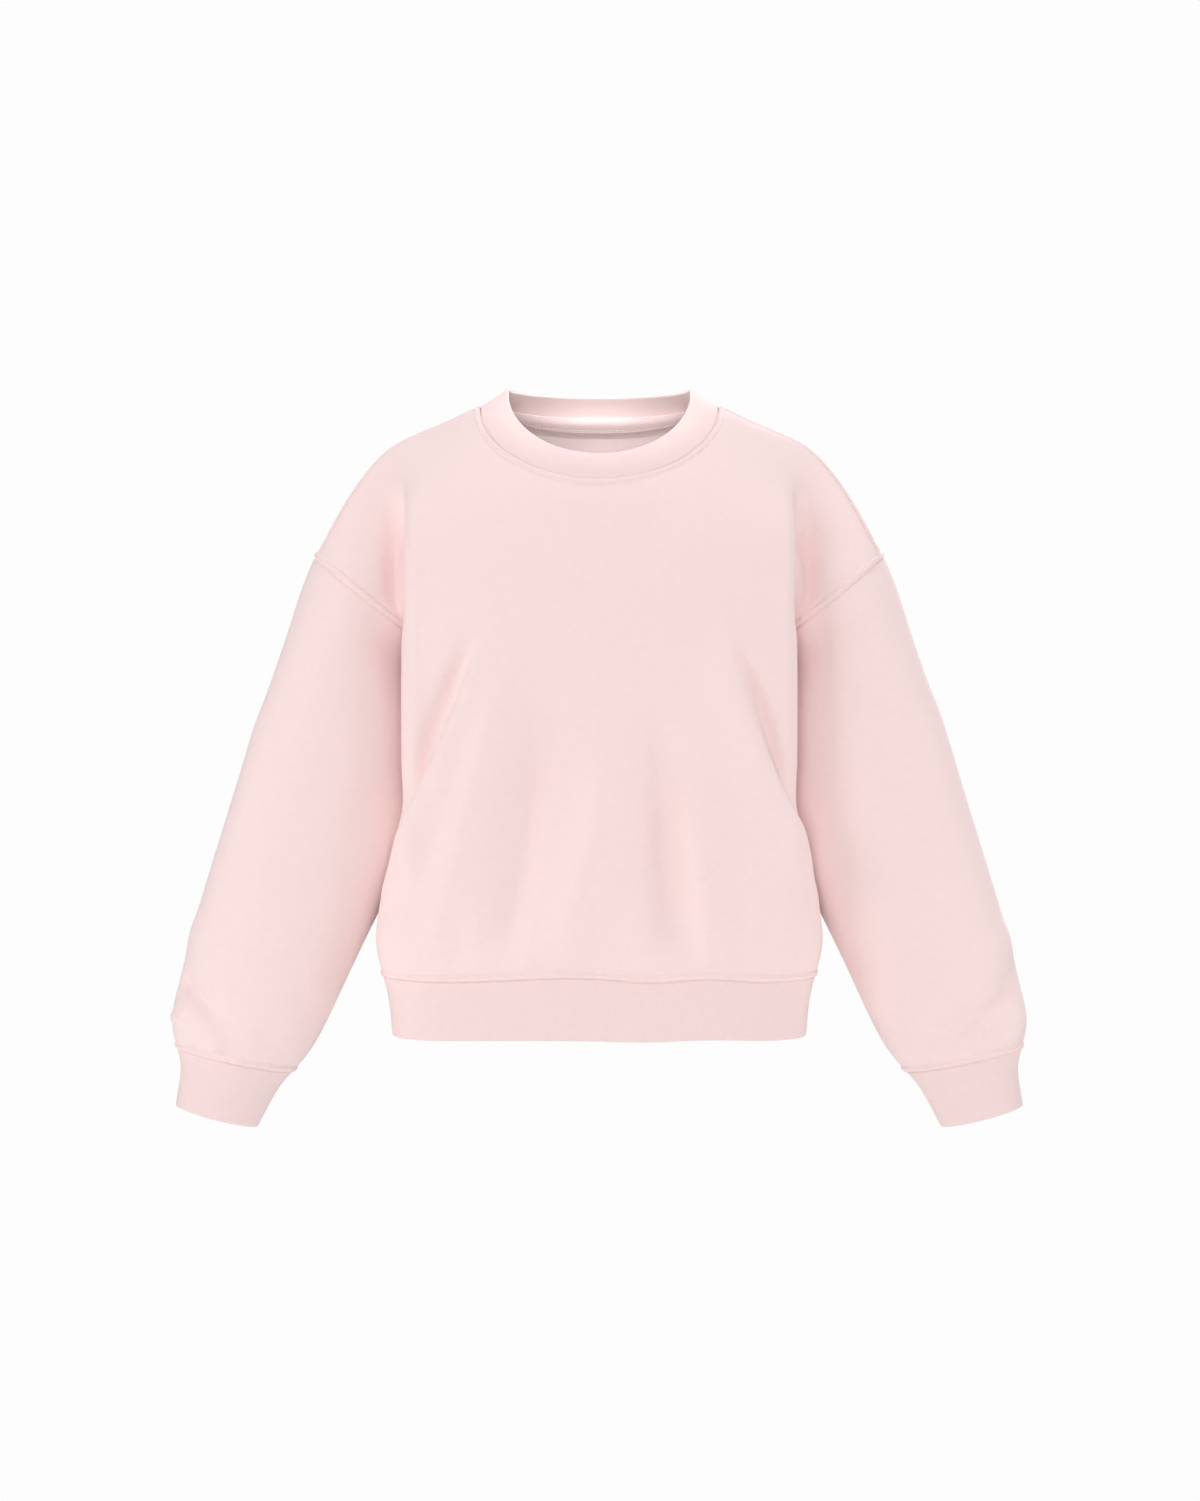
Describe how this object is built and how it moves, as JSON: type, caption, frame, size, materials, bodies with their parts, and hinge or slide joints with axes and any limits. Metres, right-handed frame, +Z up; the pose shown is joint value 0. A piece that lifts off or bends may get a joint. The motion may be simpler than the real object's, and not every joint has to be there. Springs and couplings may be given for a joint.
{
  "type": "crewneck sweatshirt",
  "caption": "Relaxed fleece crewneck sweatshirt with dropped shoulders, full sleeves and banded collar, cuffs and hem, hollow in its worn shape.",
  "frame": {"origin": "midway between the two points where the shoulder seams meet the collar", "axes": "+Z up, +X to the right seen from the front, -Y towards the front"},
  "size_m": [0.7622, 0.2389, 0.6635],
  "materials": {
    "fleece": "pale pink brushed-back fleece, smooth matt knit face",
    "rib": "pale pink fine knit, folded double, matt",
    "tape": "paler pink woven tape, matt"
  },
  "bodies": {
    "root": {"front": "fleece", "back": "fleece", "hem_band": "rib", "collar": "rib", "neck_tape": "tape", "sleeve_left": "fleece", "cuff_left": "rib", "sleeve_right": "fleece", "cuff_right": "rib"}
  },
  "joints": []
}
